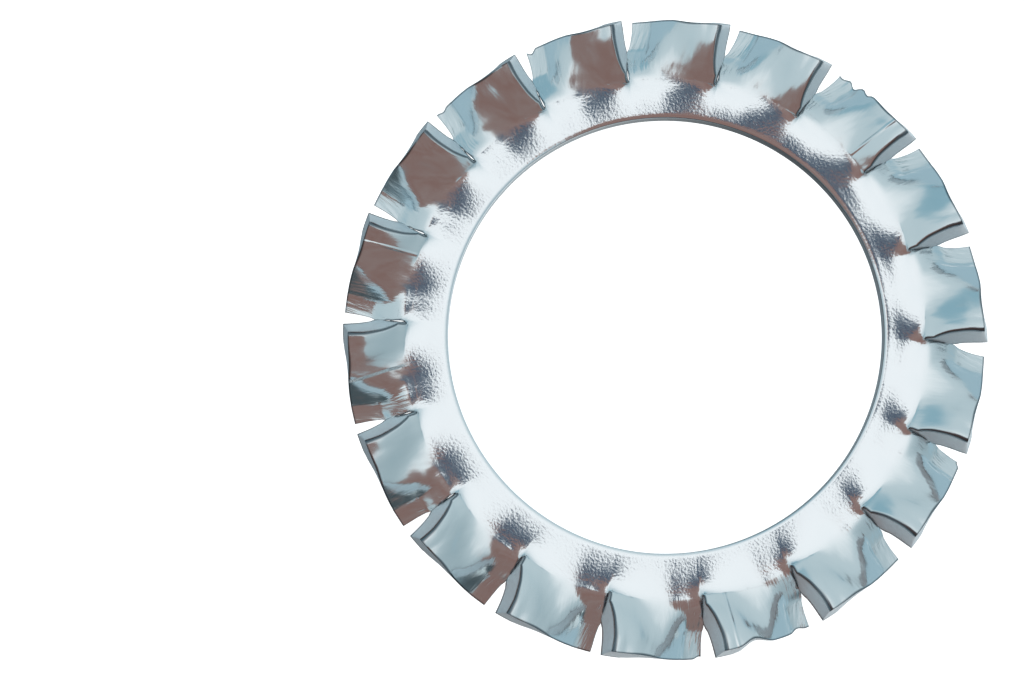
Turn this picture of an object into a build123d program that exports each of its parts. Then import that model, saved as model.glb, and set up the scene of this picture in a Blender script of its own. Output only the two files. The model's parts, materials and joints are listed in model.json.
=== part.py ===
"""Serrated external-tooth lock washer for an M16 screw, pressed from spring-steel strip.

A flat ring carries overlapping teeth that radial slits divide.  Each tooth is twisted about its
own radial mid-line: seen from either face, its clockwise side stands up and its other side
hangs down, so both faces of the washer bite.  Its section is a flattened S, with a steep web
in the middle and a gently sloping land along each side.

Origin: on the bore axis, in the plane that the lowest tooth corners rest on.  +Z is up.
"""

from build123d import *

import os
from math import cos, radians, sqrt, tan

# ---------------------------------------------------------------- driving dimensions (mm)
bore_diameter = 17.25
outer_diameter = 25.5
root_diameter = 20.7  # across the flats that the teeth grow from
sheet_thickness = 1.2
bore_edge_radius = 0.15

tooth_count = 18
tooth_rise = 1.2  # a raised corner above the ring's face, and a lowered one below it
slit_width = 0.12  # between neighbouring teeth at their roots
land_width = 0.8  # the sloping strip along each side of a tooth
land_slope = 20.0  # of that strip at the rim, in degrees
span_count = 3  # lofted spans of a tooth, from its root to where its twist is complete

# ---------------------------------------------------------------- worked out from them
root_radius = root_diameter / 2
outer_radius = outer_diameter / 2
half_sheet = sheet_thickness / 2
mid_height = half_sheet + tooth_rise
half_pitch = 180 / tooth_count
rim_station = outer_radius * cos(radians(half_pitch))  # where a tooth's twist is complete
span = (rim_station - root_radius) / span_count
trim_height = 4 * mid_height  # clear of both faces of the teeth


def tooth_outline(station):
    """Points of a tooth's upper face, in the section on the plane x = station.

    Each is measured from the tooth's mid-line: clockwise round the washer, then upwards.
    They are the lowered corner, the hollow at the foot of the web, the crown at its head and
    the raised corner.  The lower face is the same line turned half a turn about the tooth's
    mid-line.
    """
    share = (station - root_radius) / (rim_station - root_radius)
    twist = 1 - (1 - share) ** 2
    land = Vector(1, 0).rotate(Axis.Z, land_slope * twist)
    land_normal = land.rotate(Axis.Z, 90)

    # Middle line of the sheet, from the tooth's centre: up the web to its bend, then the land.
    corner_z = tooth_rise * twist + half_sheet * (1 - land_normal.Y)
    bend_z = corner_z - land_width * land.Y
    half_web = station * tan(radians(half_pitch)) - slit_width / 2 - land_width
    bend = Vector(sqrt(half_web**2 - bend_z**2), bend_z)
    corner = bend + land * land_width
    web_normal = bend.normalized().rotate(Axis.Z, 90)

    # Upper face: the middle line moved out by half the sheet, its bends mitred.
    mitre = (web_normal + land_normal) * (half_sheet / (1 + web_normal.dot(land_normal)))
    offset = land_normal * half_sheet
    return offset - corner, mitre - bend, mitre + bend, offset + corner


# ---------------------------------------------------------------- one twisted tooth
with BuildPart() as tooth:
    for number in range(span_count + 2):  # the last section lies past the rim, to be trimmed
        station = root_radius + span * number
        lowered, hollow, crown, raised = tooth_outline(station)
        clockwise_and_up = Plane((station, 0, mid_height), x_dir=(0, -1, 0), z_dir=(-1, 0, 0))
        with BuildSketch(clockwise_and_up):
            with BuildLine():
                # Each doubled control point draws the curve close to its bend.
                Bezier(lowered, hollow, hollow, crown, crown, raised)
                Line(raised, -lowered)
                Bezier(-lowered, -hollow, -hollow, -crown, -crown, -raised)
                Line(-raised, lowered)
            make_face()
    loft()
    # The trimming cylinder is turned so that its seam lies away from the tooth.
    with Locations((0, 0, mid_height)):
        Cylinder(outer_radius, trim_height, rotation=(0, 0, 180), mode=Mode.INTERSECT)

# ---------------------------------------------------------------- the whole washer
with BuildPart() as lock_washer:
    with BuildSketch(Plane.XY.offset(mid_height - half_sheet)):
        RegularPolygon(root_radius, tooth_count, major_radius=False, rotation=half_pitch)
        Circle(bore_diameter / 2, mode=Mode.SUBTRACT)
    extrude(amount=sheet_thickness)
    fillet(lock_washer.edges().filter_by(GeomType.CIRCLE), bore_edge_radius)
    with PolarLocations(0, tooth_count):
        add(tooth.part)
lock_washer.part.label = "lock_washer"

os.makedirs("parts", exist_ok=True)
export_step(lock_washer.part, "parts/lock_washer.step")
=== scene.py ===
"""Looks of a serrated external-tooth lock washer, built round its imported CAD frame.

The washer is modelled as it is made.  A flat blank is slit into teeth and its edges are eased,
then the teeth are pressed: one side of each goes up and the other down, and the ring gives a
little at their roots.  Lengths are in metres, in the frame's own axes.
"""

import json
import math

import bmesh
import bpy
import numpy as np
from bpy.props import FloatProperty, FloatVectorProperty, IntProperty, PointerProperty
from bpy.types import Operator, Panel, PropertyGroup
from mathutils import Matrix, Vector

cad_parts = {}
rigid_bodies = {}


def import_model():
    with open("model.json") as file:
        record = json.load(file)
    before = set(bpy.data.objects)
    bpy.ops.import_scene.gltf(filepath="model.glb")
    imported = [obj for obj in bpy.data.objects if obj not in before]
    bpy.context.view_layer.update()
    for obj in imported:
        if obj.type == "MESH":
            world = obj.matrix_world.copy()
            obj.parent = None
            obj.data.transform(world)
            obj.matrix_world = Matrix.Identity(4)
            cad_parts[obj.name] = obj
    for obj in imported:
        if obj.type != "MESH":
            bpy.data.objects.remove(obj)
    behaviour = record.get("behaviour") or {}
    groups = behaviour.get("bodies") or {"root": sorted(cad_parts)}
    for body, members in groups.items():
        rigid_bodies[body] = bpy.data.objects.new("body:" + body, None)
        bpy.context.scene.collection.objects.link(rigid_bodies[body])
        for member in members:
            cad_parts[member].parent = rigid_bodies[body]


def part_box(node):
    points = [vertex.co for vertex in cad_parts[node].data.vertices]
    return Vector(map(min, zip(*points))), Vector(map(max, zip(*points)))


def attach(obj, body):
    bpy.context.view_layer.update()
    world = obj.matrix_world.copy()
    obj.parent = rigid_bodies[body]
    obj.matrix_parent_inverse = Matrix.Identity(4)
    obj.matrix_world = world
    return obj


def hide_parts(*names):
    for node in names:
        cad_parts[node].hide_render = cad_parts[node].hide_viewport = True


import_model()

bl_info = {
    "name": "Serrated lock washer",
    "version": (1, 0, 0),
    "blender": (4, 5, 0),
    "location": "3D View > Sidebar > Lock washer",
    "description": "Builds a zinc-plated serrated lock washer and the stage it stands on",
    "category": "Add Mesh",
}

MM = 0.001
NODE = "lock_washer"
PIECE = "washer"
LOW_CORNER, HIGH_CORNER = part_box(NODE)
MID_HEIGHT = (LOW_CORNER.z + HIGH_CORNER.z) / 2
SAME_PLACE = 1e-6  # points nearer than this are one point
SAME_TURN = 1e-4  # and so are places round the washer, in radians

# The view from above is turned a little, so a tooth's middle isn't on its upright axis.
VIEW_TURN = math.radians(7.7)
VIEW_RIGHT = Vector((math.cos(VIEW_TURN), -math.sin(VIEW_TURN), 0))
VIEW_UP = Vector((math.sin(VIEW_TURN), math.cos(VIEW_TURN), 0))


def linear(hex_colour):
    """Linear RGBA of an sRGB colour written as hex."""
    parts = [int(hex_colour[i:i + 2], 16) / 255 for i in (1, 3, 5)]
    return (*(c / 12.92 if c <= 0.04045 else ((c + 0.055) / 1.055) ** 2.4 for c in parts), 1)


# ------------------------------------------------------------------------------ settings
def length(name, description, default):
    return FloatProperty(name=name, description=description, default=default, unit="LENGTH",
                         precision=5)


def slope(name, description, degrees):
    return FloatProperty(name=name, description=description, default=math.radians(degrees),
                         unit="ROTATION")


def colour(name, description, default):
    return FloatVectorProperty(name=name, description=description, default=linear(default),
                               size=4, min=0, max=1, subtype="COLOR")


class WasherSizes(PropertyGroup):
    """Sizes of the stamping and of its forming tool"""

    bore_radius: length("Bore radius", "Radius of the hole", 8.625 * MM)
    rim_radius: length("Rim radius", "Radius over the teeth", HIGH_CORNER.x)
    root_radius: length("Root radius", "Radius that the slits run in to", 10.35 * MM)
    thickness: length("Sheet", "Thickness of the strip", 1.2 * MM)
    slit: length("Slit", "Width of a slit in the flat blank", 0.05 * MM)
    eased_edge: length("Eased edge", "Width that tumbling takes off a sharp edge", 0.045 * MM)
    die_roll: length("Die roll", "Rounding of the edge that the shear pulls in", 0.12 * MM)
    teeth: IntProperty(name="Teeth", description="Number of teeth", default=18)
    web_slope: slope("Web slope", "Steepness of a tooth's middle at the rim", 39)
    land_slope: slope("Land slope", "Steepness of a tooth's side strip at its bend", 27)
    side_slope: slope("Side slope", "Steepness of that strip at the slit", 7)


class WasherColours(PropertyGroup):
    """Colours of the plating"""

    ring: colour("Ring", "Plating on the flat ring", "#F2F7F9")
    tooth: colour("Teeth", "Plating where the tool burnished it", "#E6EEF0")
    cut: colour("Cut faces", "Plating over the torn metal of the slits and the rim", "#E6F1F6")
    # Painted shade, with thin plating: it darkens the sharp edges, the die roll and the bore's
    # wall on one side.
    edge: colour("Edges", "Thin plating along the sharp edges", "#6A757C")


class StageColours(PropertyGroup):
    """Colours of the light tent and of what its opening shows"""

    top: colour("Tent, top", "Cloth overhead", "#FBFDFF")
    side: colour("Tent, side", "Cloth near the floor", "#B5C8CF")
    shade: colour("Tent, shaded side", "Cloth on the side away from the lamps", "#8FA3AB")
    blue: colour("Tent, blue side", "Cloth that daylight tints", "#84ADBD")
    low: colour("Tent, skirt", "Cloth where it meets the light table", "#A5BFCB")
    skirting: colour("Room, low", "The dark low part of the room beyond the opening", "#485358")
    table: colour("Table", "The light table as the cut faces see it", "#F2F8FA")
    dusk: colour("Table, shaded", "The table on its darkest side", "#5E6569")
    room: colour("Room", "The room beyond the tent's opening", "#8F7B77")
    wood: colour("Wood", "Wooden furniture in that room", "#866862")
    lens: colour("Lens", "The camera's lens and hood in the opening", "#3A5064")
    floor: colour("Floor", "Light table under the washer", "#E4E9EA")


# ------------------------------------------------------------------------------ small tools
def deselect_all():
    bpy.ops.object.select_all(action="DESELECT")


def edit_select(kind, wanted):
    """Selects, in edit mode, the vertices, edges or faces that a test picks by place."""
    obj = bpy.context.edit_object
    bpy.ops.mesh.select_all(action="DESELECT")
    bpy.ops.mesh.select_mode(type={"verts": "VERT", "edges": "EDGE", "faces": "FACE"}[kind])
    mesh = bmesh.from_edit_mesh(obj.data)
    for element in getattr(mesh, kind):
        element.select = bool(wanted(element))
    mesh.select_flush_mode()
    bmesh.update_edit_mesh(obj.data)


def centre_of(element):
    points = [v.co for v in element.verts]
    return sum(points, Vector()) / len(points)


def reach_of(vertex):
    """Distance from the bore's axis."""
    return vertex.co.to_2d().length


def read_points(obj):
    points = np.empty(len(obj.data.vertices) * 3)
    obj.data.vertices.foreach_get("co", points)
    return points.reshape(-1, 3)


def write_points(obj, points):
    obj.data.vertices.foreach_set("co", points.astype(np.float32).ravel())
    obj.data.update()


def write_attribute(obj, name, values):
    kind, field = ("FLOAT", "value") if values.ndim == 1 else ("FLOAT_VECTOR", "vector")
    attribute = obj.data.attributes.new(name, kind, "POINT")
    attribute.data.foreach_set(field, values.astype(np.float32).ravel())


def smooth(value, start=0, end=1):
    """0 before start, 1 past end, and level at both."""
    part = np.clip((value - start) / (end - start), 0, 1)
    return part * part * (3 - 2 * part)


def lerp(start, end, part):
    return start + (end - start) * part


def crowd(value, low, high, amount):
    """Moves evenly spaced marks between low and high towards both ends."""
    part = (value - low) / (high - low)
    crowded = lerp(low, high, part - amount * np.sin(2 * math.pi * part) / (2 * math.pi))
    return np.where((part > 0) & (part < 1), crowded, value)


# ------------------------------------------------------------------------------ the blank
COLUMNS = 40  # of faces, round one tooth's share
RING_ROWS = 16
TOOTH_ROWS = 21
SHEET_ROWS = 7
COLUMN_CROWDING = 0.5  # 0 leaves them evenly spaced
RING_CROWDING = 0.6
TOOTH_CROWDING = 0.3
SHARP = math.radians(40)  # between two faces, at an edge that gets eased


def blank_sector(size):
    """One tooth's share of the flat blank: a wedge that is open where its neighbours join."""
    half_pitch = math.pi / size.teeth
    bpy.ops.mesh.primitive_plane_add(
        size=size.thickness,
        rotation=(math.pi / 2, 0, 0),
        location=(size.bore_radius + size.thickness / 2, 0, MID_HEIGHT),
    )
    obj = bpy.context.object
    bpy.ops.object.transform_apply(location=True, rotation=True, scale=True)
    bpy.ops.object.mode_set(mode="EDIT")
    ring_width = size.root_radius - size.bore_radius
    outer_side = size.bore_radius + size.thickness - SAME_PLACE
    edit_select("edges", lambda e: centre_of(e).x > outer_side)
    bpy.ops.transform.translate(value=(ring_width - size.thickness, 0, 0))
    edit_select("edges", lambda e: centre_of(e).x > size.root_radius - SAME_PLACE)
    bpy.ops.mesh.extrude_region_move(
        TRANSFORM_OT_translate={"value": (size.rim_radius - size.root_radius, 0, 0)})
    for start, rows in ((size.bore_radius, RING_ROWS), (size.root_radius, TOOTH_ROWS)):
        edit_select("edges", lambda e: min(v.co.x for v in e.verts) < start + SAME_PLACE
                    and start + SAME_PLACE < centre_of(e).x)
        bpy.ops.mesh.subdivide(number_cuts=rows - 1)
    edit_select("edges", lambda e: abs(e.verts[0].co.z - e.verts[1].co.z) > SAME_PLACE)
    bpy.ops.mesh.subdivide(number_cuts=SHEET_ROWS - 1)
    bpy.ops.mesh.select_all(action="SELECT")
    bpy.ops.mesh.spin(steps=COLUMNS, angle=2 * half_pitch, center=(0, 0, 0), axis=(0, 0, 1))
    bpy.ops.object.mode_set(mode="OBJECT")

    # The wedge is centred on +X, and its rows and columns close up towards every edge.
    points = read_points(obj)
    reach = np.hypot(points[:, 0], points[:, 1])
    turn = np.arctan2(points[:, 1], points[:, 0])
    turn -= (turn.min() + turn.max()) / 2
    turn = crowd(turn, -half_pitch, half_pitch, COLUMN_CROWDING)
    reach = crowd(reach, size.bore_radius, size.root_radius, RING_CROWDING)
    reach = crowd(reach, size.root_radius, size.rim_radius, TOOTH_CROWDING)
    points[:, 0] = reach * np.cos(turn)
    points[:, 1] = reach * np.sin(turn)
    write_points(obj, points)

    # The ring stays open where it joins its neighbours, and half a slit goes from each side.
    def at_side(point):
        return abs(math.atan2(point.y, point.x)) > half_pitch - SAME_TURN

    bpy.ops.object.mode_set(mode="EDIT")
    edit_select("faces", lambda f: at_side(centre_of(f))
                and centre_of(f).to_2d().length < size.root_radius)
    bpy.ops.mesh.delete(type="FACE")
    for side in (-1, 1):
        edit_select("verts", lambda v: at_side(v.co) and v.co.y * side > 0
                    and reach_of(v) > size.root_radius + SAME_PLACE)
        inwards = Vector((math.sin(half_pitch), -side * math.cos(half_pitch), 0))
        bpy.ops.transform.translate(value=inwards * (size.slit / 2))
    bpy.ops.object.mode_set(mode="OBJECT")
    return obj


def slit_blank(size):
    """The whole flat blank: copies of the sector, joined, merged and with eased edges."""
    deselect_all()
    sector = blank_sector(size)
    sector.name = PIECE
    for number in range(1, size.teeth):
        deselect_all()
        sector.select_set(True)
        bpy.context.view_layer.objects.active = sector
        bpy.ops.object.duplicate(linked=False)
        bpy.context.object.rotation_euler.z = number * 2 * math.pi / size.teeth
        bpy.ops.object.transform_apply(location=False, rotation=True, scale=False)
    for obj in bpy.context.scene.objects:
        obj.select_set(obj.name.startswith(PIECE))
    bpy.context.view_layer.objects.active = sector
    bpy.ops.object.join()
    bpy.ops.object.mode_set(mode="EDIT")
    bpy.ops.mesh.select_all(action="SELECT")
    bpy.ops.mesh.remove_doubles(threshold=SAME_PLACE)
    bpy.ops.mesh.normals_make_consistent(inside=False)

    # Every sharp edge is eased but the slits' ends.
    bpy.ops.mesh.select_all(action="DESELECT")
    bpy.ops.mesh.select_mode(type="EDGE")
    bpy.ops.mesh.edges_select_sharp(sharpness=SHARP)
    bpy.ops.transform.edge_bevelweight(value=1)
    edit_select("edges", lambda e: all(
        abs(reach_of(v) - size.root_radius) < SAME_PLACE for v in e.verts))
    bpy.ops.transform.edge_bevelweight(value=-1)
    bpy.ops.object.mode_set(mode="OBJECT")
    bevel = sector.modifiers.new("eased edges", "BEVEL")
    bevel.limit_method = "WEIGHT"
    bevel.width = size.eased_edge
    bevel.segments = 2
    bpy.ops.object.modifier_apply(modifier=bevel.name)
    return sector


# ------------------------------------------------------------------------------ pressing
ROOT_TWIST = 0.16  # share of a tooth's twist that the ring takes up at its root
CRISP_ROOT_TWIST = 0.07  # that share on the face that the tool bears on
BEND_RADIUS = 0.72 * MM  # middle of the sheet, where the web meets a side strip
BEND_AT_ROOT = math.radians(6.1)  # from the tooth's mid-line, round the washer
BEND_AT_RIM = math.radians(5.45)
TOOL_EDGE = 0.48  # share of the tooth's length where the tool's face eases off
TOOL_TWIST = 0.8  # share of the twist that the tool gives up to there
TOOL_SIDE = (math.radians(-6.5), math.radians(-1))  # between which the tool lets go of a face
ROUNDED_KNEE = 0.06  # of the twist, where the tool's face eases off
FREE_TWIST = (-1.2, 1.9, 0.3, 0)  # of a free face: a cubic of the length, steepest half way
FULL_LIFT = 0.8  # share of the tooth's length where its lifted side is fully up
LIFT_CURVE = 1.5  # the power by which it slows down on its way there
LIFTED_SIDE = (math.radians(-2), math.radians(9))  # between which a free face counts as lifted
LANDS_SET_IN = 0.25  # share of the tooth's length over which its side strips form
RIM_WIDTH = 0.948  # of a tooth as pressed, to its width in the flat blank
NARROWING = (0.2, 0.8)  # shares of its length between which it comes to that
BELLY = 0.03 * MM  # that a tooth's middle draws in
CREST_AT_ROOT = math.radians(-5.5)  # a low crest runs aslant over each face of a web
CREST_AT_RIM = math.radians(1.5)
CREST_FOOT = math.radians(-6.5)  # where it dies out on its steep side, and on its other side
CREST_END = math.radians(7.5)
CREST_SLOPE = math.radians(10)
CREST_ROUNDING = 0.05 * MM
CREST_SET_IN = 0.3  # share of the tooth's length
STEP = 0.02 * MM  # over which slopes along a tooth are taken
NOT_ZERO = 1e-9  # added to what a slope is divided by


def twist_along(share, upper, clockwise):
    """Twist of a tooth, from its root to its rim, for the upper or the lower face.

    The face that the tool bears on bends sharply at the root and again at the tool's edge.
    The free face over a lifted side comes up fast, and between the two it curves softly.
    """
    share = np.clip(share, 0, 1)
    slow = np.polyval(FREE_TWIST, share)
    fast = 1 - np.maximum(1 - share / FULL_LIFT, 0)**LIFT_CURVE
    lifted = lerp(smooth(-clockwise, *LIFTED_SIDE), smooth(clockwise, *LIFTED_SIDE), upper)
    soft = lerp(slow, fast, lifted)
    under_tool = TOOL_TWIST / TOOL_EDGE * share
    past_tool = 1 - (1 - TOOL_TWIST) / (1 - TOOL_EDGE) * (1 - share)
    sharp = (under_tool + past_tool - np.hypot(under_tool - past_tool, ROUNDED_KNEE)) / 2

    free = freedom(upper, clockwise)
    return lerp(lerp(CRISP_ROOT_TWIST, ROOT_TWIST, free), 1, lerp(sharp, soft, free))


def freedom(upper, clockwise):
    """0 where the tool bears on the face, along its lowered side, and 1 elsewhere."""
    return lerp(smooth(-clockwise, *TOOL_SIDE), smooth(clockwise, *TOOL_SIDE), upper)


def crest(share, clockwise, radius):
    """Height of the crest that the press leaves aslant over a web, on its upper face."""
    top = lerp(CREST_AT_ROOT, CREST_AT_RIM, np.clip(share, 0, 1))
    steep_side = (clockwise - CREST_FOOT) * radius * math.tan(CREST_SLOPE)
    height = (top - CREST_FOOT) * radius * math.tan(CREST_SLOPE)
    far_side = height * (CREST_END - clockwise) / (CREST_END - top)
    ridge = (steep_side + far_side - np.hypot(
        steep_side - far_side, CREST_ROUNDING * math.tan(CREST_SLOPE) * 2)) / 2
    return np.maximum(ridge, 0) * smooth(share, 0, CREST_SET_IN)


def press(size, radius, clockwise, upper, gain):
    """Where the press takes the sheet's middle: along the tooth's width, up, and its slope."""
    half_pitch = math.pi / size.teeth
    share = (radius - size.root_radius) / (size.rim_radius - size.root_radius)
    twist = gain * twist_along(share, upper, clockwise)
    set_in = smooth(share, 0, LANDS_SET_IN)
    web = size.web_slope * twist
    land = lerp(web, size.land_slope * twist, set_in)
    side = lerp(web, size.side_slope * twist, set_in)

    # Along the section: the web, its bend, and the side strip, which flattens to the slit.
    away = np.abs(clockwise)
    arc = away * radius
    bend_length = np.maximum(BEND_RADIUS * (web - land), SAME_PLACE)
    start = radius * lerp(BEND_AT_ROOT, BEND_AT_RIM, np.clip(share, 0, 1)) - bend_length / 2
    strip_length = half_pitch * radius - start - bend_length
    on_web = np.minimum(arc, start)
    on_bend = np.clip(arc - start, 0, bend_length)
    on_strip = np.maximum(arc - start - bend_length, 0)
    bent = lerp(web, land, on_bend / bend_length)
    eased = lerp(bent, side, on_strip / strip_length)
    runs = ((on_web, web), (on_bend, (web + bent) / 2), (on_strip, (bent + eased) / 2))
    across = sum(run * np.cos(angle) for run, angle in runs)
    across *= lerp(1, RIM_WIDTH, smooth(share, *NARROWING))
    rise = sum(run * np.sin(angle) for run, angle in runs)

    # The ring evens out the steps between the teeth, the more the further it is from them.
    wave = size.teeth * away
    left = np.exp(np.minimum(share, 0) * (size.rim_radius - size.root_radius)
                  * size.teeth / size.root_radius)
    swell = np.arctan2(left * np.sin(wave), 1 + left * np.cos(wave)) * 2 / math.pi
    steepness = size.web_slope * twist_along(0, upper, clockwise) * gain
    ring_rise = half_pitch * size.root_radius * np.sin(steepness) * swell
    ring_slope = steepness * 2 * left * (np.cos(wave) + left) / (
        1 + 2 * left * np.cos(wave) + left**2 + NOT_ZERO)
    under_slit = wave > math.pi - SAME_TURN
    in_ring = share <= 0
    rise = np.where(in_ring, np.where(under_slit, 0, ring_rise), rise)
    across = np.where(in_ring, arc, across)
    angle = np.where(in_ring, np.clip(ring_slope, -steepness, steepness), eased)
    way = np.sign(clockwise)
    return across * way, rise * way, angle


BORE_ROLL = 0.16 * MM  # width and depth that the punch pulled in round the bore
BORE_DROP = 0.08 * MM
DISH_WIDTH = 1.45 * MM
DISH_DEPTH = 0.09 * MM
DISH_SIDE = math.radians(58)  # where it is deepest, round the washer
FAR_DISH_DEPTH = 0.055 * MM  # a second, shallower one across from it
FAR_DISH_SIDE = math.radians(-168)
LEDGE_DROP = 0.024 * MM  # the ring steps down on another side, most below the slits
LEDGE_SIDE = math.radians(-13)
LEDGE_STEP = (0.36 * MM, 1.02 * MM)  # from the bore
LEDGE_AT_TOOTH = 0.35
RIM_PART = 0.6  # share of a tooth's length where its rim begins
MIDDLE_REACH = math.radians(6)  # half the width where its raised side gives way to the other
BURNISHING = (-0.12, 0.13)  # shares of a tooth's length over which the tool's polish sets in
MOST_LEAN = math.radians(32)
WALL_LEAN = math.radians(21)  # of a slit's face, out of the upright
WALL_SET_IN = 0.5  # share of the tooth's length
# Where the shear left the rim ragged: from the view's top, clockwise, half its width in
# degrees, and how far it cuts in.
RIM_NICKS = ((34.5, 1.6, 0.1 * MM), (37.2, 1.3, 0.2 * MM), (39.8, 1.0, 0.12 * MM),
             (112.8, 1.0, 0.14 * MM), (155.5, 1.6, 0.12 * MM), (163.6, 3.4, 0.2 * MM),
             (173.9, 1.2, 0.1 * MM), (335.2, 1.2, 0.16 * MM), (316.0, 1.1, 0.08 * MM))
# Folds in a tooth's upper face: their places at the root and at the rim.
FOLDS = ((45.2, 46.6), (167.2, 166.8), (288.6, 287.6))
RIM_SHEAR = 0.17 * MM  # by which the shear leaves one edge of the rim short of the other
UNEVEN_SEED = 16
UNEVEN_TWIST = 0.05  # most by which a tooth's twist differs from the next one's
UNEVEN_TURN = math.radians(0.25)
# How far the slits run out of true round the washer, at their roots and at the rim.
ROOT_DRIFT = math.radians(1.6)
ROOT_DRIFT_PHASE = math.radians(176.5)
RIM_DRIFT = math.radians(1.0)
RIM_DRIFT_PHASE = math.radians(208.5)
RIM_TURN = math.radians(0.5)  # of the whole rim
BORE_SHIFT = VIEW_RIGHT * 0.036 * MM + VIEW_UP * 0.125 * MM
SHIFTED_WIDTH = 1.5 * MM  # over which the ring takes that up
ROLL_AT_ROOT = 0.3  # of the die roll at the rim
ROLLED_DARK = 0.3  # share of the die roll's depth past which it is darkened: thin plating and painted shade
NO_FOLD = 9 * MM  # stands for far from any fold
PATTERN_STEP = 3 * MM  # sets the pattern on one tooth apart from the next


class Blank:
    """Where each point of the flat blank lies, and to which tooth it belongs"""

    def __init__(self, obj, size):
        points = read_points(obj)
        half_pitch = math.pi / size.teeth
        self.radius = np.hypot(points[:, 0], points[:, 1])
        self.turn = np.arctan2(points[:, 1], points[:, 0])
        self.tooth = np.round(self.turn / (2 * half_pitch))
        self.clockwise = 2 * half_pitch * self.tooth - self.turn
        self.height = points[:, 2] - MID_HEIGHT
        self.upper = (1 + self.height / (size.thickness / 2)) / 2
        self.share = (self.radius - size.root_radius) / (size.rim_radius - size.root_radius)
        self.in_tooth = smooth(self.share, *BURNISHING)
        self.from_bore = self.radius - size.bore_radius
        self.from_slit = half_pitch * self.radius - size.slit / 2 - (
            np.abs(self.clockwise) * self.radius)


def die_roll(blank, size):
    """How far into the die roll of a slit a point lies, from 0 to 1, and how far that sinks it.

    The shear pulls in the upper edge of a tooth's raised side, and the lower of the other.
    """
    reach = size.die_roll * lerp(ROLL_AT_ROOT, 1, np.clip(blank.share, 0, 1))
    into = np.clip(1 - blank.from_slit / reach, 0, 1) * (blank.share > 0)
    into *= np.where(blank.clockwise > 0, blank.upper, 1 - blank.upper)
    return into, reach * (1 - np.sqrt(1 - into**2)) * np.sign(blank.clockwise)


def facing(turn, side, tightness):
    """1 on one side of the washer, and less the further round it goes."""
    return ((1 + np.cos(turn - side)) / 2)**tightness


def bore_sink(blank, size):
    """How far the punch sinks the upper face round the bore: its roll, two dishes, a ledge."""
    punched = np.clip(1 - blank.from_bore / BORE_ROLL, 0, 1)
    dish = np.clip(1 - blank.from_bore / DISH_WIDTH, 0, 1)
    deep = DISH_DEPTH * facing(blank.turn, DISH_SIDE, 4)
    shallow = FAR_DISH_DEPTH * facing(blank.turn, FAR_DISH_SIDE, 2)
    near_slit = (1 - np.cos(size.teeth * blank.clockwise)) / 2
    ledge = LEDGE_DROP * facing(blank.turn, LEDGE_SIDE, 4) * lerp(LEDGE_AT_TOOTH, 1, near_slit)
    inside_ledge = 1 - smooth(blank.from_bore, *LEDGE_STEP)
    roll = BORE_DROP * (1 - np.sqrt(1 - punched**2))
    return (roll + dish**2 * (deep + shallow) + ledge * inside_ledge) * blank.upper


def form_teeth(obj, size):
    """Presses the teeth: moves each point of the flat blank to where the tool takes it."""
    blank = Blank(obj, size)
    half_pitch = math.pi / size.teeth
    share, upper, clockwise = blank.share, blank.upper, blank.clockwise
    into_roll, roll_sink = die_roll(blank, size)
    height = blank.height - roll_sink - bore_sink(blank, size)

    uneven = np.random.default_rng(UNEVEN_SEED).uniform(-1, 1, (2, size.teeth))
    uneven = uneven[:, blank.tooth.astype(int) % size.teeth]
    gain = 1 + UNEVEN_TWIST * uneven[0]
    across, rise, angle = press(size, blank.radius, clockwise, upper, gain)
    outer = press(size, blank.radius + STEP, clockwise, upper, gain)[1]
    inner = press(size, blank.radius - STEP, clockwise, upper, gain)[1]
    lean = np.arctan((outer - inner) / (2 * STEP))
    lean = np.clip(lean, -MOST_LEAN, MOST_LEAN) * blank.in_tooth
    wall = np.maximum(angle, WALL_LEAN * smooth(share, 0, WALL_SET_IN)) * blank.in_tooth
    tuck = size.thickness / 2 * np.abs(np.sin(lean))
    tuck += BELLY * (1 - np.abs(clockwise) / half_pitch)
    radius = blank.radius - tuck * smooth(share) - height * np.cos(angle) * np.sin(lean)
    turn = 2 * half_pitch * blank.tooth - (across - height * np.sin(wall)) / blank.radius

    # The slitting tool runs a little out of true, and shears the rim aslant and ragged.
    root_drift = ROOT_DRIFT * np.cos(turn + ROOT_DRIFT_PHASE)
    rim_drift = RIM_TURN + RIM_DRIFT * np.cos(turn + RIM_DRIFT_PHASE)
    turn -= lerp(root_drift, rim_drift + UNEVEN_TURN * uneven[1], smooth(share))
    raised = smooth(clockwise, -MIDDLE_REACH, MIDDLE_REACH)
    short_edge = lerp(1 - raised, raised, upper)
    at_rim = smooth(share, RIM_PART, 1)
    radius -= RIM_SHEAR * short_edge * at_rim
    from_top = np.degrees(math.pi / 2 - VIEW_TURN - turn) % 360
    for place, width, depth in RIM_NICKS:
        radius -= depth * (1 - smooth(np.abs(from_top - place), 0, width)) * at_rim

    ridge = upper * crest(share, clockwise, blank.radius) - (1 - upper) * crest(
        share, -clockwise, blank.radius)
    upright = lerp(1, np.cos(angle) * np.cos(lean), blank.in_tooth)
    points = np.stack((radius * np.cos(turn), radius * np.sin(turn),
                       MID_HEIGHT + rise + ridge + height * upright), axis=1)
    # The bore is a little off centre.
    points += np.outer(1 - smooth(blank.from_bore, 0, SHIFTED_WIDTH), BORE_SHIFT)
    write_points(obj, points)
    write_finish(obj, size, blank, into_roll, from_top)


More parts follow.
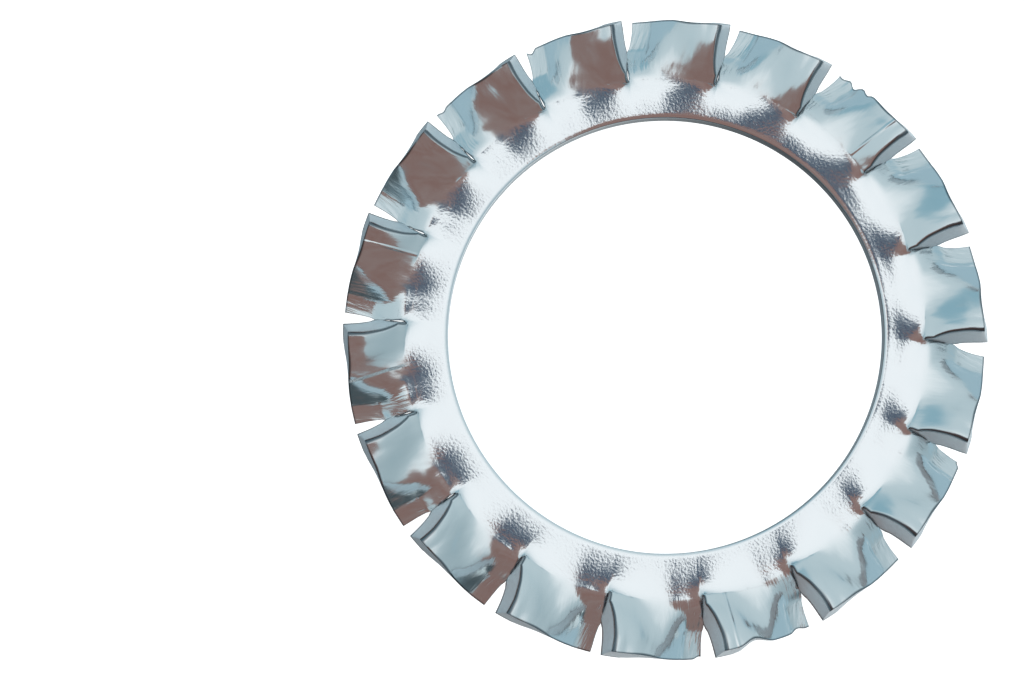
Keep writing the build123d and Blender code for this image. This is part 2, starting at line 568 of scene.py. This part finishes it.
def write_finish(obj, size, blank, into_roll, from_top):
    """Writes what the finish needs to know of each point, as attributes of the mesh."""
    half_edge = size.eased_edge / 2
    near_face = size.thickness / 2 - np.abs(blank.height)
    near_side = np.minimum(size.rim_radius - blank.radius, blank.from_bore)
    near_side = np.where(blank.share > 0, np.minimum(near_side, blank.from_slit), near_side)
    on_side = near_side < half_edge
    write_attribute(obj, "cut", on_side & (near_face > half_edge))

    # Painted shade darkens the sharp edges and the die roll, where the plating is also thin, and
    # the bore's wall on the deep dish's side.
    rolled = smooth(into_roll, 0, ROLLED_DARK)
    thin_and_shaded = np.where(on_side, near_face < half_edge, rolled)
    shaded_bore_side = facing(blank.turn, DISH_SIDE, 4)
    write_attribute(obj, "edge", np.where(blank.from_bore < half_edge, shaded_bore_side, thin_and_shaded))

    # A fold stays on the tooth whose outer half it crosses.
    from_fold = np.full_like(blank.share, NO_FOLD)
    for root_place, rim_place in FOLDS:
        beside = from_top - lerp(root_place, rim_place, np.clip(blank.share, 0, 1))
        crossed = np.argmin(np.where(blank.share < 0.5, 360, np.abs(beside)))
        here = (blank.tooth == blank.tooth[crossed]) & (blank.share > 0)
        from_fold = np.where(here, np.radians(beside) * blank.radius, from_fold)
    write_attribute(obj, "from_fold", np.where(blank.upper > 0.5, from_fold, NO_FOLD))
    write_attribute(obj, "worked", blank.in_tooth)
    borne_on = 1 - freedom(blank.upper, blank.clockwise)
    write_attribute(obj, "tooled", blank.in_tooth * borne_on)
    write_attribute(obj, "on_tooth", np.stack(
        (blank.clockwise * blank.radius, blank.radius,
         PATTERN_STEP * blank.tooth + blank.height), axis=1))


# ------------------------------------------------------------------------------ materials
def add_node(tree, kind, inputs=None, stops=(), **settings):
    """Adds a node with its settings, its ramp's stops, and each input's value or link."""
    node = tree.nodes.new("ShaderNode" + kind)
    for name, value in settings.items():
        setattr(node, name, value)
    for number, (position, tint) in enumerate(stops):
        elements = node.color_ramp.elements
        stop = elements[number] if number < 2 else elements.new(position)
        stop.position, stop.color = position, tint
    for key, value in (inputs or {}).items():
        if isinstance(value, bpy.types.Node):
            value = next(socket for socket in value.outputs if socket.enabled)
        if isinstance(value, bpy.types.NodeSocket):
            tree.links.new(value, node.inputs[key])
        else:
            node.inputs[key].default_value = value
    return node


def new_material(name):
    material = bpy.data.materials.new(name)
    material.use_nodes = True
    material.node_tree.nodes.clear()
    return material, material.node_tree


PEEL_GRAIN = 0.1 * MM  # orange peel; the real one is nearer 0.05 mm, too fine to show
PEEL_HEIGHT = 0.0038 * MM
PEEL_ON_TEETH = 0.1  # share of it that the tool leaves
WAVE_TURN = math.radians(-27)  # the tool leaves long waves aslant over a tooth
WAVE_WIDTH = 0.5 * MM
WAVE_LENGTH = 1.9 * MM
WAVE_HEIGHT = 0.025 * MM
STREAK_WIDTH = 0.3 * MM  # drag marks run out along a tooth, deepest where the tool bore on it
STREAK_LENGTH = 3.0 * MM
STREAK_HEIGHT = 0.035 * MM
FREE_STREAKS = 0.17  # share of that depth on the rest of a tooth
TEAR_GRAIN = 0.14 * MM  # torn metal on the cut faces
TEAR_HEIGHT = 0.02 * MM
FOLD_WIDTH = 0.1 * MM
FOLD_HEIGHT = 0.02 * MM
RING_ROUGHNESS = 0.13
TOOTH_ROUGHNESS = 0.17
TORN_ROUGHNESS = 0.2  # that torn metal adds
TORN_METAL = 0.25  # share of a mirror that is left to it
A = 6  # a Mix node's colour inputs
B = 7


def blue_zinc(colours):
    """Zinc electroplate with a blue passivate over pressed spring steel.

    It is bright and nearly a mirror: the ring keeps the strip's fine orange peel, and the teeth
    the waves and drag marks of the tool.  Over the torn metal of the cut faces it is pale and
    matt.
    """
    material, tree = new_material("blue_passivated_zinc_plate")
    place = add_node(tree, "TexCoord").outputs["Object"]
    on_tooth = add_node(tree, "Attribute", attribute_name="on_tooth").outputs["Vector"]
    worked, tooled, cut, edge, from_fold = (
        add_node(tree, "Attribute", attribute_name=name).outputs["Fac"]
        for name in ("worked", "tooled", "cut", "edge", "from_fold"))

    peel = add_node(tree, "TexNoise", {"Vector": place, "Scale": 1 / PEEL_GRAIN, "Detail": 1.0})
    peel_height = add_node(tree, "MapRange", {
        "Value": worked, "To Min": PEEL_HEIGHT, "To Max": PEEL_ON_TEETH * PEEL_HEIGHT})
    height = add_node(tree, "Math", {0: peel, 1: peel_height}, operation="MULTIPLY")
    aslant = add_node(tree, "Mapping", {
        "Vector": on_tooth, "Rotation": (0, 0, WAVE_TURN),
        "Scale": (WAVE_WIDTH, WAVE_LENGTH, MM)}, vector_type="TEXTURE")
    wave = add_node(tree, "TexNoise", {"Vector": aslant, "Scale": 1.0, "Detail": 1.5})
    outward = add_node(tree, "Mapping", {
        "Vector": on_tooth, "Scale": (STREAK_WIDTH, STREAK_LENGTH, MM)}, vector_type="TEXTURE")
    streak = add_node(tree, "TexNoise", {
        "Vector": outward, "Scale": 1.0, "Detail": 3.0, "Roughness": 0.6})
    dragged = add_node(tree, "Math", {0: worked, 1: FREE_STREAKS, 2: tooled},
                       operation="MULTIPLY_ADD")
    tear = add_node(tree, "TexNoise", {"Vector": place, "Scale": 1 / TEAR_GRAIN, "Detail": 3.0})
    for pattern, where, most in ((wave, worked, WAVE_HEIGHT), (streak, dragged, STREAK_HEIGHT),
                                 (tear, cut, TEAR_HEIGHT)):
        pattern = add_node(tree, "Math", {0: pattern, 1: where}, operation="MULTIPLY")
        height = add_node(
            tree, "Math", {0: pattern, 1: most, 2: height}, operation="MULTIPLY_ADD")
    from_fold = add_node(tree, "Math", {0: from_fold}, operation="ABSOLUTE")
    fold = add_node(tree, "MapRange", {
        "Value": from_fold, "From Max": FOLD_WIDTH, "To Min": FOLD_HEIGHT, "To Max": 0},
        interpolation_type="SMOOTHSTEP")
    height = add_node(tree, "Math", {0: height, 1: fold}, operation="ADD")
    bump = add_node(tree, "Bump", {"Height": height, "Strength": 1.0, "Distance": 1.0})

    # The edges' tint is painted shade, with thin plating, along the sharp edges, the die roll
    # and one side of the bore's wall.
    tint = colours.ring
    for where, plating in ((worked, colours.tooth), (cut, colours.cut), (edge, colours.edge)):
        tint = add_node(tree, "Mix", {0: where, A: tint, B: plating}, data_type="RGBA")
    matt = add_node(tree, "MapRange", {
        "Value": worked, "To Min": RING_ROUGHNESS, "To Max": TOOTH_ROUGHNESS})
    matt = add_node(
        tree, "Math", {0: cut, 1: TORN_ROUGHNESS, 2: matt}, operation="MULTIPLY_ADD")
    bare = add_node(tree, "MapRange", {"Value": cut, "To Min": 1.0, "To Max": TORN_METAL})
    shader = add_node(tree, "BsdfPrincipled", {
        "Base Color": tint, "Metallic": bare, "Roughness": matt, "Normal": bump})
    add_node(tree, "OutputMaterial", {"Surface": shader})
    return material


# ------------------------------------------------------------------------------ the stage
TENT_RADIUS = 0.6
FLOOR_SIZE = 12
LEVEL = 2 * math.degrees(1)  # how far from its middle the tent's plan has level light
PLAN_DEPTH = 1.1 * LEVEL  # how far out the slot is drawn: a little past level light
# How far the cloth goes from its top colour to its side colour, by degrees from overhead.
CLOTH = ((0, 0), (12, 0.08), (20, 0.2), (30, 0.48), (41, 0.77), (61, 0.82), (75, 0.88), (88, 1))

# The slot's two sides in the plan, each from its tip down: upwards, then to the right.
SLOT_RIGHT = ((8, -8), (6, -2), (3.5, -1), (1, 0.5), (-2, 2.2), (-6, 3.6), (-9, 5.2), (-11, 10),
              (-14, 14), (-25, 20), (-45, 29), (-60, 38), (-78, 54), (-100, 60))
SLOT_LEFT = ((8, -2), (6, -5), (5, -13), (0, -14), (-5, -16), (-10, -27), (-15, -42), (-20, -62),
             (-27, -84), (-36, -86), (-48, -66), (-60, -54), (-76, -52), (-100, -72))
SLOT_BLUR = 0.8
LENS_PLACE = (2, 4, 0)
LENS_REACH = (9.5, 13)  # where the lens ends and where the room is clear of it
WOOD_SCALE = 5.0  # of the patches of wood in the room
WOOD_EDGE = (0.3, 0.7)
# Patches of the tent: the side that each is on, as the view has it (right, up, towards its eye),
# the cosines of the angles from there at which it starts and is full, and how full it gets.
SHADED = ((0.8, -0.6, 0), 0.3, 1.0, 0.6)
BLUEST = ((-0.47, 0.81, 0.34), 0.89, 0.99, 0.85)
SKIRTING = ((-0.05, -1, 0), 0.55, 0.75, 1.0)
DARKEST = ((-0.65, 0.17, -0.74), 0.45, 0.8, 1.0)
# Where the cloth gives way to its skirt and the skirt to the table: 0 is overhead, 1 below.
SKIRT_EDGE = (0.44, 0.48)
TABLE_EDGE = (0.58, 0.66)


def tent_cotton(colours):
    """Lit cotton of a light tent, with the slot that the camera looks through.

    The cloth is brightest overhead.  The slot shows the room and the lens, which give the
    plating its brown and blue darks.
    """
    material, tree = new_material("lit_tent_cotton")
    place = add_node(tree, "TexCoord").outputs["Object"]
    turned = add_node(tree, "Mapping", {"Vector": place, "Rotation": (0, 0, VIEW_TURN)})
    toward = add_node(tree, "VectorMath", {0: turned}, operation="NORMALIZE")
    axes = add_node(tree, "SeparateXYZ", {0: toward}).outputs

    # A plan of the tent seen from below, in degrees from overhead, true near the middle.
    lifted = add_node(tree, "Math", {0: axes["Z"], 1: 1.0}, operation="ADD")
    spread = add_node(tree, "Math", {0: LEVEL, 1: lifted}, operation="DIVIDE")
    plan = add_node(tree, "VectorMath", {0: toward, "Scale": spread}, operation="SCALE")
    plan = add_node(tree, "VectorMath", {0: plan, 1: (1, 1, 0)}, operation="MULTIPLY")
    plan_axes = add_node(tree, "SeparateXYZ", {0: plan}).outputs

    zenith = add_node(tree, "Math", {0: axes["Z"]}, operation="ARCCOSINE")
    zenith = add_node(tree, "Math", {0: zenith, 1: 1 / math.pi}, operation="MULTIPLY")
    fall = add_node(tree, "ValToRGB", {0: zenith}, stops=[
        (angle / 180, (part, part, part, 1)) for angle, part in CLOTH])
    patches = []
    for side, start, full, most in (SHADED, BLUEST, SKIRTING, DARKEST):
        nearness = add_node(tree, "VectorMath", {0: toward, 1: side}, operation="DOT_PRODUCT")
        patches.append(add_node(tree, "MapRange", {
            "Value": nearness, "From Min": start, "From Max": full, "To Max": most},
            interpolation_type="SMOOTHSTEP"))
    shaded, bluest, dark, dusk = patches

    # The slot: right of its left side and left of its right side, with the lens in the room.
    down = add_node(tree, "MapRange", {
        "Value": plan_axes["Y"], "From Min": -PLAN_DEPTH, "From Max": PLAN_DEPTH})
    sides = []
    for edge, way in ((SLOT_LEFT, 1), (SLOT_RIGHT, -1)):
        stops = [((up / PLAN_DEPTH + 1) / 2, [(right / PLAN_DEPTH + 1) / 2] * 3 + [1])
                 for up, right in reversed(edge)]
        side = add_node(tree, "ValToRGB", {0: down}, stops=stops)
        side = add_node(tree, "MapRange", {
            "Value": side, "To Min": -PLAN_DEPTH, "To Max": PLAN_DEPTH})
        past = add_node(tree, "Math", {0: plan_axes["X"], 1: side}, operation="SUBTRACT")
        sides.append(add_node(tree, "MapRange", {
            "Value": past, "From Min": -way * SLOT_BLUR, "From Max": way * SLOT_BLUR},
            interpolation_type="SMOOTHSTEP"))
    slot = add_node(tree, "Math", {0: sides[0], 1: sides[1]}, operation="MULTIPLY")
    from_lens = add_node(tree, "VectorMath", {0: plan, 1: LENS_PLACE}, operation="DISTANCE")
    past_lens = add_node(tree, "MapRange", {
        "Value": from_lens, "From Min": LENS_REACH[0], "From Max": LENS_REACH[1]},
        interpolation_type="SMOOTHSTEP")
    wood = add_node(tree, "TexNoise", {"Vector": toward, "Scale": WOOD_SCALE, "Detail": 1.0})
    wood = add_node(tree, "MapRange", {
        "Value": wood, "From Min": WOOD_EDGE[0], "From Max": WOOD_EDGE[1]})
    skirt, under = (
        add_node(tree, "MapRange", {"Value": zenith, "From Min": start, "From Max": full},
                 interpolation_type="SMOOTHSTEP")
        for start, full in (SKIRT_EDGE, TABLE_EDGE))

    # The skirt is dark where the slot reaches it, and the table has its dark side.
    room, low, table, seen = (
        add_node(tree, "Mix", {0: part, A: start, B: end}, data_type="RGBA")
        for part, start, end in (
            (wood, colours.room, colours.wood), (dark, colours.low, colours.skirting),
            (dusk, colours.table, colours.dusk), (fall, colours.top, colours.side)))
    room = add_node(tree, "Mix", {0: past_lens, A: colours.lens, B: room}, data_type="RGBA")
    for part, shown in ((shaded, colours.shade), (bluest, colours.blue), (slot, room),
                        (skirt, low), (under, table)):
        seen = add_node(tree, "Mix", {0: part, A: seen, B: shown}, data_type="RGBA")
    glow = add_node(tree, "Emission", {"Color": seen, "Strength": 1.0})
    add_node(tree, "OutputMaterial", {"Surface": glow})
    return material


def light_table(colours):
    """Opal acrylic of a light table: matt, and lit evenly from below."""
    material, tree = new_material("opal_acrylic_light_table")
    shader = add_node(tree, "BsdfPrincipled", {
        "Base Color": colours.floor, "Roughness": 0.6, "Emission Color": (1, 1, 1, 1),
        "Emission Strength": 1.0})
    add_node(tree, "OutputMaterial", {"Surface": shader})
    return material


CAMERA_DISTANCE = 0.145
CAMERA_DROP = 0.008  # towards the lower edge of the view
SENSOR_WIDTH = 36
FRAME_WIDTH = 1024  # pixels
PIXELS_PER_METRE = 25262  # at the washer
AIM_RIGHT = -153.8 / PIXELS_PER_METRE  # of the washer's middle
AIM_UP = -5.3 / PIXELS_PER_METRE


def add_camera(scene):
    data = bpy.data.cameras.new("camera")
    camera = bpy.data.objects.new("camera", data)
    scene.collection.objects.link(camera)
    scene.camera = camera
    data.sensor_width = SENSOR_WIDTH
    data.lens = PIXELS_PER_METRE * CAMERA_DISTANCE / FRAME_WIDTH * SENSOR_WIDTH
    data.clip_start = 0.001
    data.clip_end = FLOOR_SIZE
    aim = Vector((0, 0, MID_HEIGHT)) + BORE_SHIFT + VIEW_RIGHT * AIM_RIGHT + VIEW_UP * AIM_UP
    place = aim - VIEW_UP * CAMERA_DROP + Vector((0, 0, CAMERA_DISTANCE))
    back = (place - aim).normalized()
    right = VIEW_UP.cross(back).normalized()
    turn = Matrix((right, back.cross(right), back)).transposed().to_4x4()
    camera.matrix_world = Matrix.Translation(place) @ turn


# ------------------------------------------------------------------------------ operators
class OBJECT_OT_lock_washer(Operator):
    """Adds the washer: a slit blank with eased edges, its teeth pressed, then plated"""

    bl_idname = "object.lock_washer"
    bl_label = "Lock washer"

    def execute(self, context):
        obj = slit_blank(context.scene.washer_sizes)
        obj.name = obj.data.name = PIECE
        form_teeth(obj, context.scene.washer_sizes)
        deselect_all()
        obj.select_set(True)
        context.view_layer.objects.active = obj
        bpy.ops.object.shade_smooth_by_angle(angle=math.radians(35))
        obj.data.materials.append(blue_zinc(context.scene.washer_colours))
        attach(obj, "root")
        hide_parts(NODE)
        return {"FINISHED"}


class OBJECT_OT_washer_stage(Operator):
    """Adds the light table, the light tent over it and the camera"""

    bl_idname = "object.washer_stage"
    bl_label = "Stage"

    def execute(self, context):
        colours = context.scene.stage_colours
        deselect_all()
        bpy.ops.mesh.primitive_uv_sphere_add(
            segments=64, ring_count=64, radius=TENT_RADIUS, location=(0, 0, 0))
        tent = context.object
        tent.name = "light_tent"
        bpy.ops.object.mode_set(mode="EDIT")
        bpy.ops.mesh.select_all(action="SELECT")
        bpy.ops.mesh.flip_normals()
        bpy.ops.object.mode_set(mode="OBJECT")
        bpy.ops.object.shade_smooth()
        tent.data.materials.append(tent_cotton(colours))
        tent.visible_camera = False

        deselect_all()
        bpy.ops.mesh.primitive_plane_add(size=FLOOR_SIZE)
        floor = context.object
        floor.name = "light_table"
        floor.data.materials.append(light_table(colours))
        # The washer sees the table that the tent's lower half shows in its place.
        floor.visible_glossy = floor.visible_diffuse = False

        world = bpy.data.worlds.new("studio")
        world.use_nodes = True
        world.node_tree.nodes["Background"].inputs["Color"].default_value = colours.floor
        context.scene.world = world
        context.scene.view_settings.view_transform = "Standard"
        add_camera(context.scene)
        return {"FINISHED"}


class VIEW3D_PT_lock_washer(Panel):
    """Sizes, colours and operators of the lock washer"""

    bl_label = "Lock washer"
    bl_space_type = "VIEW_3D"
    bl_region_type = "UI"
    bl_category = "Lock washer"

    def draw(self, context):
        scene = context.scene
        for group in (scene.washer_sizes, scene.washer_colours, scene.stage_colours):
            box = self.layout.box()
            for name in group.__annotations__:
                box.prop(group, name)
        for operator in (OBJECT_OT_lock_washer, OBJECT_OT_washer_stage):
            self.layout.operator(operator.bl_idname)


CLASSES = (WasherSizes, WasherColours, StageColours, OBJECT_OT_lock_washer,
           OBJECT_OT_washer_stage, VIEW3D_PT_lock_washer)


def register():
    for registered in CLASSES:
        bpy.utils.register_class(registered)
    bpy.types.Scene.washer_sizes = PointerProperty(type=WasherSizes)
    bpy.types.Scene.washer_colours = PointerProperty(type=WasherColours)
    bpy.types.Scene.stage_colours = PointerProperty(type=StageColours)


def unregister():
    del bpy.types.Scene.stage_colours
    del bpy.types.Scene.washer_colours
    del bpy.types.Scene.washer_sizes
    for registered in reversed(CLASSES):
        bpy.utils.unregister_class(registered)


def main():
    register()
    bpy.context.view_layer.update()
    bpy.ops.object.lock_washer()
    bpy.ops.object.washer_stage()


if __name__ == "__main__":
    main()
